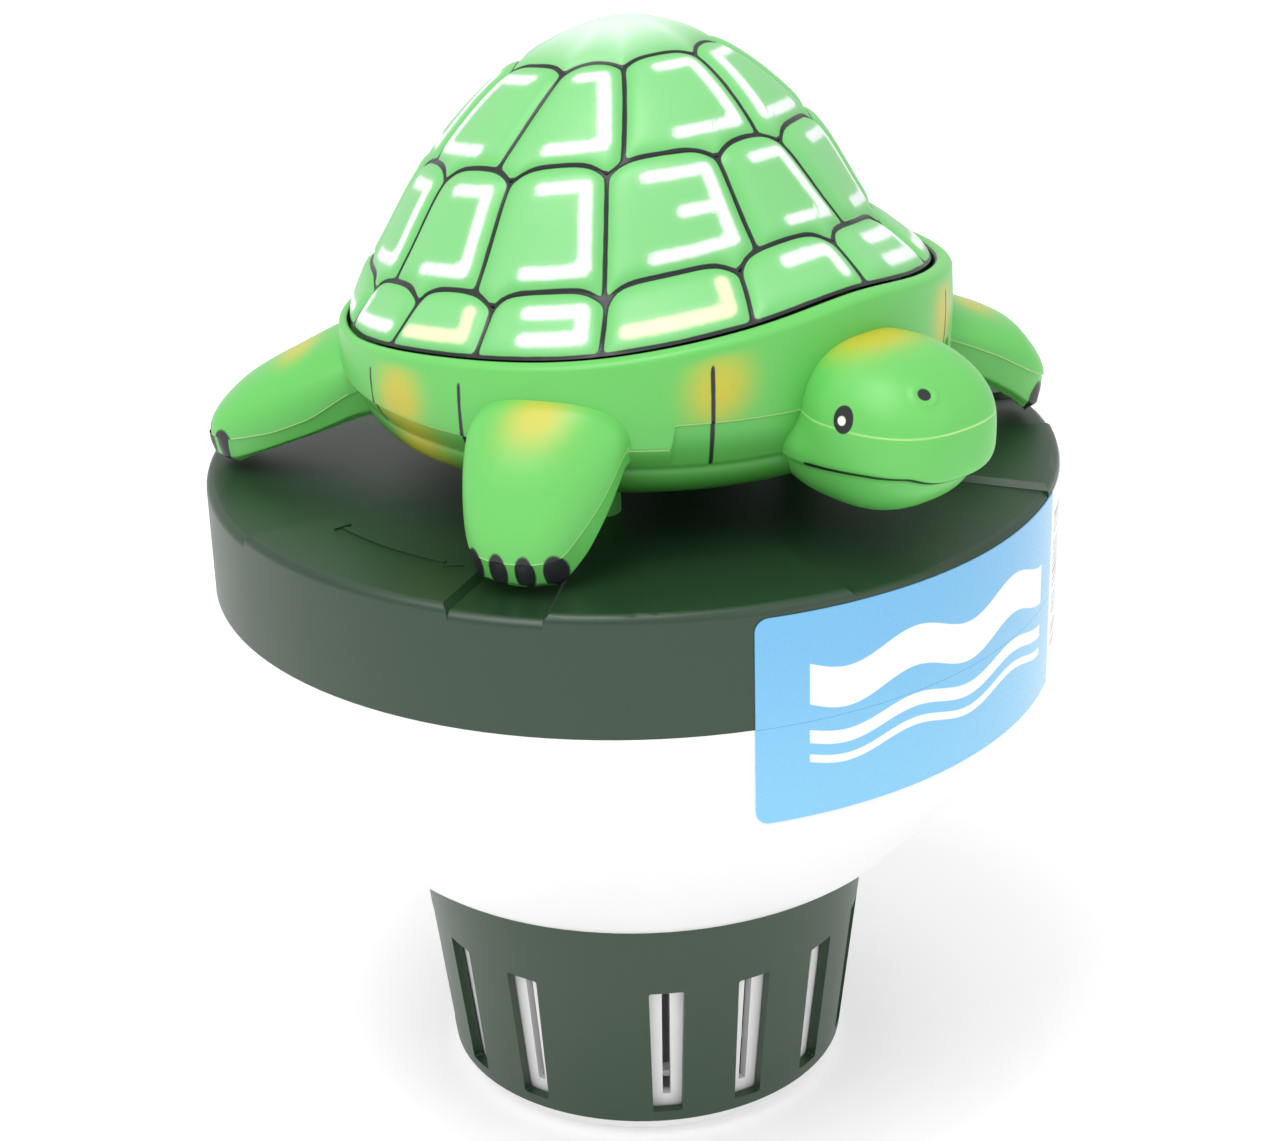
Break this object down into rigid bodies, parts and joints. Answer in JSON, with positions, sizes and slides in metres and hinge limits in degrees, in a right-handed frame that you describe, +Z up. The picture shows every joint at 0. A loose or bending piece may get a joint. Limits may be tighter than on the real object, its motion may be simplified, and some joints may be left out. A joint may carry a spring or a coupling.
{
  "type": "floating chlorine dispenser",
  "caption": "Floating pool chlorine dispenser: turtle on a twist-off lid, round hollow float, slotted canister with a turning flow ring.",
  "frame": {"origin": "centre of the bottom face of the base cap", "axes": "+Z up along the float's axis; the turtle looks along -Y"},
  "size_m": [0.196, 0.2017, 0.259],
  "materials": {
    "white_plastic": "satin white moulding",
    "dark_green_plastic": "fine-grained dark green moulding",
    "turtle_green_plastic": "satin green moulding with airbrushed paint",
    "seal_rubber": "black rubber",
    "screw_steel": "stainless steel",
    "label_film": "printed film"
  },
  "bodies": {
    "float": {"float_bowl": "white_plastic", "tablet_tube": "white_plastic", "base_cap": "white_plastic", "label_lower": "label_film"},
    "flow_ring": {"flow_ring": "dark_green_plastic"},
    "seal": {"lid_seal": "seal_rubber"},
    "lid": {"lid": "dark_green_plastic", "turtle_upper_shell": "turtle_green_plastic", "turtle_lower_shell": "turtle_green_plastic", "turtle_screws": "screw_steel", "screw_washers": "seal_rubber", "label_upper": "label_film"}
  },
  "joints": [
    {"name": "lid_lift", "type": "slide", "parent": "float", "child": "seal", "axis": [0, 0, 1], "range_m": [0, 0.13]},
    {"name": "lid_twist", "type": "hinge", "parent": "seal", "child": "lid", "pos_m": [0, 0, 0.1464], "axis": [0, 0, 1], "range_deg": [-30, 0]},
    {"name": "flow_ring_turn", "type": "hinge", "parent": "float", "child": "flow_ring", "pos_m": [0, 0, 0.0344], "axis": [0, 0, 1], "range_deg": [0, 11.75]}
  ]
}
